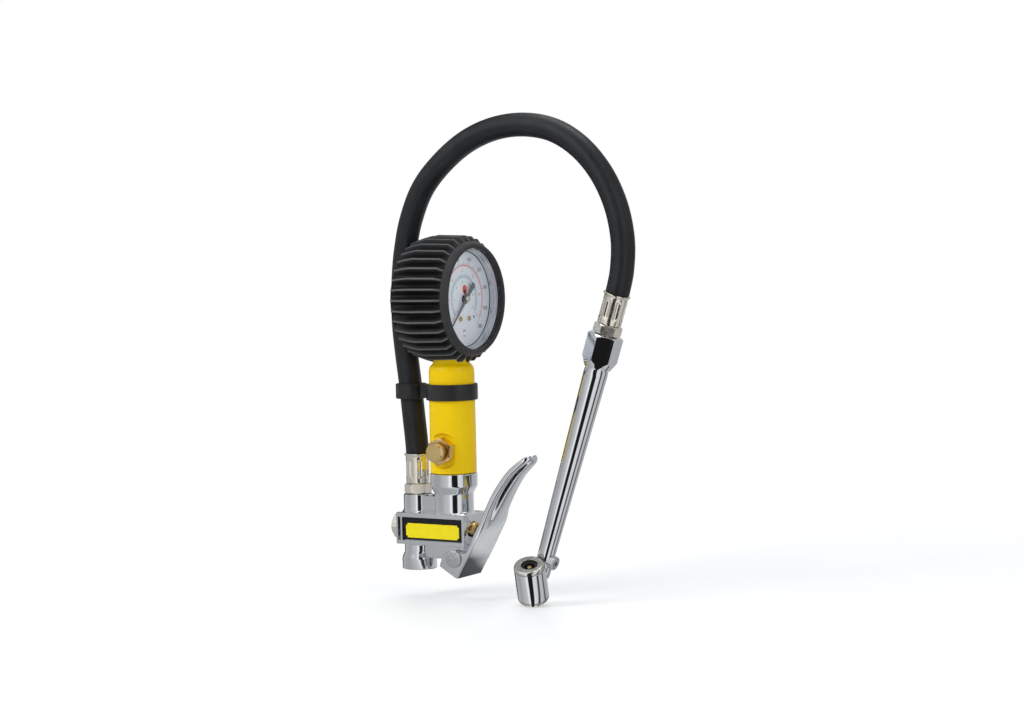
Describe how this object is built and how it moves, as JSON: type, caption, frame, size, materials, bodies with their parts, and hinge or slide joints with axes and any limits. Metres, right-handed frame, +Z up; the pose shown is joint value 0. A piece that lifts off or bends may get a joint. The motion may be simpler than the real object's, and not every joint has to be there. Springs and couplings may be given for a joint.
{
  "type": "tyre inflator",
  "caption": "Hand-held tyre inflator: squeeze lever valve body, handle tube with a dial gauge in a ribbed rubber boot, short hose and long twin-head chuck.",
  "frame": {"origin": "centre of the air inlet's end face, at the bottom of the valve body", "axes": "+Z up along the inlet and the handle, +X from the inlet towards the lever and the gauge's face, -Y towards the side with the label plate"},
  "size_m": [0.1609, 0.074, 0.2787],
  "materials": {
    "chrome": "polished plating",
    "steel": "zinc plated",
    "nickel": "satin nickel plating",
    "brass": "turned",
    "yellow": "gloss enamel",
    "rubber": "matt moulded",
    "plastic": "satin moulded",
    "dial": "printed",
    "pointer": "satin",
    "lens": "clear",
    "label": "blank label"
  },
  "bodies": {
    "inflator": {"valve_body": "chrome", "label_plate": "label", "valve_plug": "nickel", "plug_washer": "steel", "valve_gland": "brass", "stem_ring": "rubber", "lever_pin": "steel", "pin_clip": "steel", "handle_barrel": "yellow", "barrel_ring": "rubber", "release_nut": "brass", "hose_clip": "plastic", "gauge_socket": "brass", "gauge_case": "steel", "case_vent_plug": "rubber", "gauge_boot": "rubber", "gauge_lens": "lens", "gauge_dial": "dial", "dial_screw_left": "brass", "dial_screw_right": "brass", "movement_back_plate": "brass", "movement_front_plate": "brass", "movement_pillar_left": "brass", "movement_pillar_right": "brass", "bourdon_tube": "brass", "body_nipple": "nickel", "body_ferrule": "nickel", "air_hose": "rubber", "chuck_ferrule": "nickel", "chuck_nipple": "nickel", "chuck_body": "chrome", "chuck_plug": "steel", "chuck_cap_front": "steel", "chuck_cap_rear": "steel", "chuck_seal_front": "rubber", "chuck_seal_rear": "rubber", "valve_spring": "steel", "release_spring": "steel", "chuck_spring_front": "steel", "chuck_spring_rear": "steel"},
    "lever": {"lever": "chrome"},
    "stem": {"valve_stem": "brass", "valve_seal": "rubber"},
    "button": {"release_button": "brass", "release_seal": "rubber"},
    "pointer": {"gauge_pointer": "pointer", "pointer_cap": "brass", "pinion_shaft": "brass"},
    "sector": {"sector_gear": "brass"},
    "link": {"movement_link": "brass"},
    "pin_front": {"chuck_pin_front": "brass"},
    "pin_rear": {"chuck_pin_rear": "brass"}
  },
  "joints": [
    {"name": "lever_squeeze", "type": "hinge", "parent": "inflator", "child": "lever", "pos_m": [0.0327, 0, 0.0087], "axis": [0, -1, 0], "range_deg": [0, 9], "stiffness_Nm_per_rad": 1.2, "springref_deg": -5.73},
    {"name": "stem_slide", "type": "slide", "parent": "inflator", "child": "stem", "axis": [-1, 0, 0], "range_m": [0, 0.0034], "deforming": ["valve_spring"]},
    {"name": "button_press", "type": "slide", "parent": "inflator", "child": "button", "axis": [-0.0872, 0.9962, 0], "range_m": [0, 0.0022], "stiffness_N_per_m": 800, "springref_m": -0.003, "deforming": ["release_spring"]},
    {"name": "pointer_turn", "type": "hinge", "parent": "inflator", "child": "pointer", "pos_m": [0.03, 0, 0.1575], "axis": [-1, 0, 0], "range_deg": [0, 270], "stiffness_Nm_per_rad": 0.0005, "springref_deg": -34.38},
    {"name": "sector_turn", "type": "hinge", "parent": "inflator", "child": "sector", "pos_m": [0.0238, 0, 0.1415], "axis": [-1, 0, 0], "range_deg": [-38.6, 0]},
    {"name": "link_slide", "type": "slide", "parent": "inflator", "child": "link", "axis": [0, 1, 0], "range_m": [0, 0.0043]},
    {"name": "pin_front_press", "type": "slide", "parent": "inflator", "child": "pin_front", "axis": [-0.1501, 0.4401, -0.8853], "range_m": [0, 0.0016], "stiffness_N_per_m": 500, "springref_m": -0.002, "deforming": ["chuck_spring_front"]},
    {"name": "pin_rear_press", "type": "slide", "parent": "inflator", "child": "pin_rear", "axis": [0.1501, -0.4401, 0.8853], "range_m": [0, 0.0016], "stiffness_N_per_m": 500, "springref_m": -0.002, "deforming": ["chuck_spring_rear"]}
  ],
  "couplings": [
    {"joint": "stem_slide", "follows": "lever_squeeze", "m_per_rad": 0.021},
    {"joint": "sector_turn", "follows": "link_slide", "rad_per_m": -156.54},
    {"joint": "pointer_turn", "follows": "link_slide", "rad_per_m": 1095.8}
  ]
}
